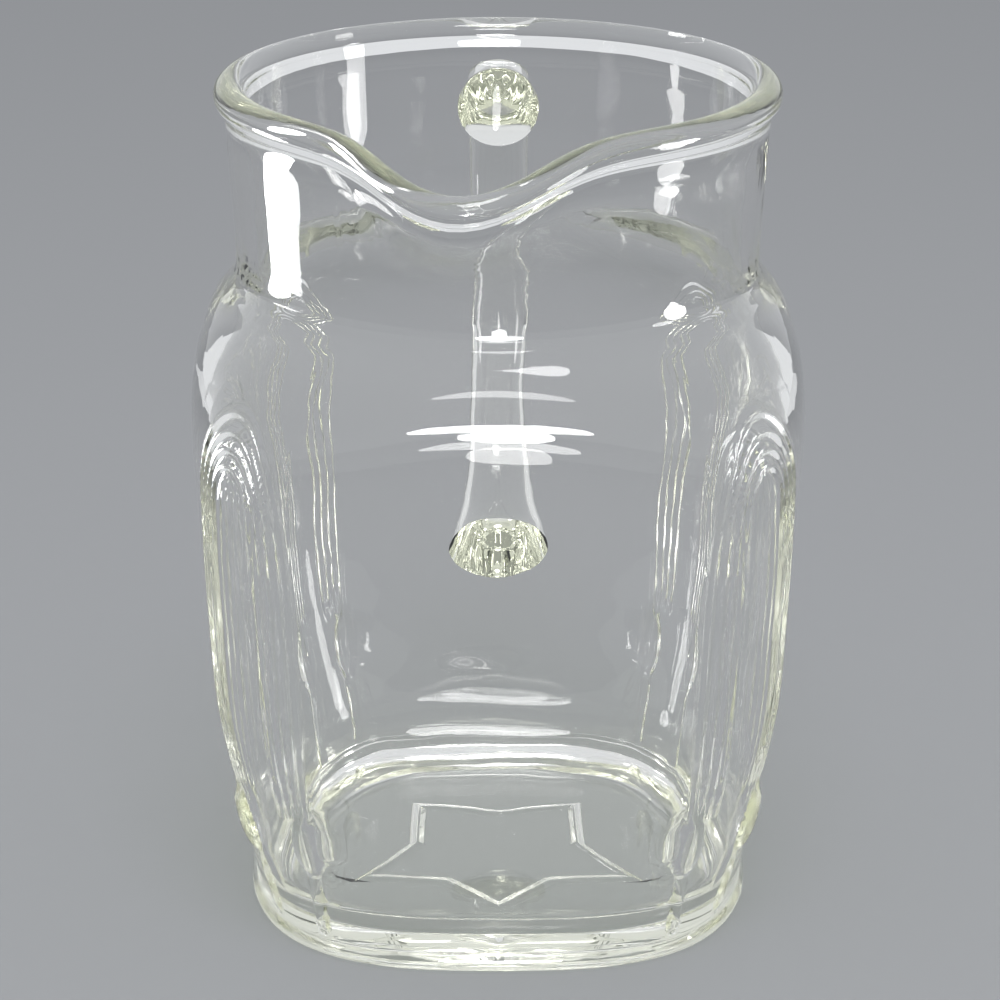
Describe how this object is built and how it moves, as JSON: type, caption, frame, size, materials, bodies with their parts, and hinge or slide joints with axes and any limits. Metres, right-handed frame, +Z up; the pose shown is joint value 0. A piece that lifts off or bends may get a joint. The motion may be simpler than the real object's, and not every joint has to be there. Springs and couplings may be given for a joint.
{
  "type": "glass pitcher",
  "caption": "Clear pressed-glass pitcher with a soft-square body, ribbed corner columns, round neck, wide pouring spout, loop handle and a star pressed into the bottom.",
  "frame": {"origin": "centre of the foot, on the surface that the pitcher stands on", "axes": "+Z up, -Y out through the spout, +Y out through the handle, +X across the pitcher"},
  "size_m": [0.1262, 0.1762, 0.178],
  "materials": {
    "glass": "clear polished soda-lime glass with a faint warm green tint where it is thick"
  },
  "bodies": {
    "root": {"pitcher": "glass"}
  },
  "joints": []
}
